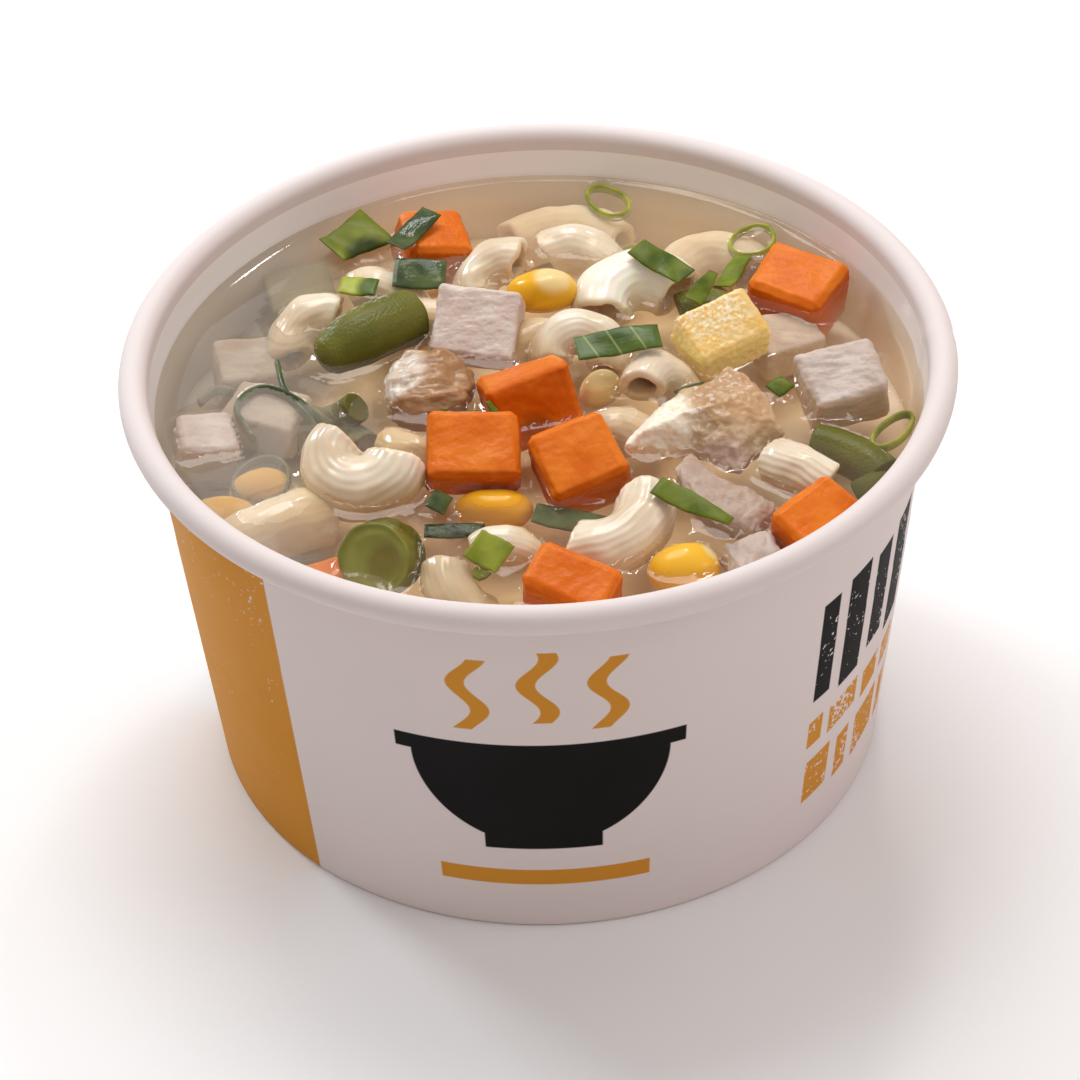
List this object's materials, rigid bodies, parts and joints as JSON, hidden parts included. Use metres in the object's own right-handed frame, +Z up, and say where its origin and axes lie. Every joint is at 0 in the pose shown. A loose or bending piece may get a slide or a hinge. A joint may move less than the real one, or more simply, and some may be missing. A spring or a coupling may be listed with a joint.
{
  "type": "bowl of chicken soup",
  "caption": "Paper bowl with a rolled rim, filled with clear soup holding diced vegetables, elbow macaroni, chicken pieces and snips of spring onion.",
  "frame": {"origin": "centre of the circle that the foot stands on, at the table", "axes": "+Z up through the mouth of the bowl, -Y towards the side that the camera sees"},
  "size_m": [0.115, 0.115, 0.0636],
  "materials": {
    "bowl_paper": "coated white board, printed",
    "stock": "clear, thin, slightly cloudy",
    "carrot": "wet cut flesh",
    "swede": "wet cut flesh",
    "sweetcorn": "wet smooth skin",
    "green_bean": "wet skin",
    "chicken": "moist fibrous meat",
    "browned_chicken": "moist browned meat",
    "macaroni": "wet cooked pasta",
    "spring_onion": "wet leaf",
    "leek": "wet dark leaf"
  },
  "bodies": {
    "root": {"bowl": "bowl_paper", "broth": "stock", "carrot_1": "carrot", "carrot_2": "carrot", "carrot_3": "carrot", "carrot_4": "carrot", "carrot_5": "carrot", "carrot_6": "carrot", "carrot_7": "carrot", "chicken_1": "chicken", "chicken_2": "browned_chicken", "chicken_3": "browned_chicken", "chicken_4": "chicken", "chicken_5": "chicken", "chicken_6": "chicken", "chicken_7": "chicken", "green_bean_1": "green_bean", "green_bean_2": "green_bean", "green_bean_3": "green_bean", "green_bean_4": "green_bean", "green_bean_5": "green_bean", "leek_strip_1": "leek", "macaroni_01": "macaroni", "macaroni_02": "macaroni", "macaroni_03": "macaroni", "macaroni_04": "macaroni", "macaroni_05": "macaroni", "macaroni_06": "macaroni", "macaroni_07": "macaroni", "macaroni_08": "macaroni", "macaroni_09": "macaroni", "macaroni_10": "macaroni", "macaroni_11": "macaroni", "macaroni_12": "macaroni", "macaroni_13": "macaroni", "onion_leaf_01": "spring_onion", "onion_leaf_02": "spring_onion", "onion_leaf_03": "spring_onion", "onion_leaf_04": "spring_onion", "onion_leaf_05": "spring_onion", "onion_leaf_06": "spring_onion", "onion_leaf_07": "leek", "onion_leaf_08": "leek", "onion_leaf_09": "spring_onion", "onion_leaf_10": "leek", "onion_leaf_11": "leek", "onion_leaf_12": "spring_onion", "onion_leaf_13": "spring_onion", "onion_leaf_14": "leek", "onion_ring_1": "spring_onion", "onion_ring_2": "spring_onion", "swede_1": "swede", "sweetcorn_1": "sweetcorn", "sweetcorn_2": "sweetcorn", "sweetcorn_3": "sweetcorn", "sweetcorn_4": "sweetcorn"}
  },
  "joints": []
}
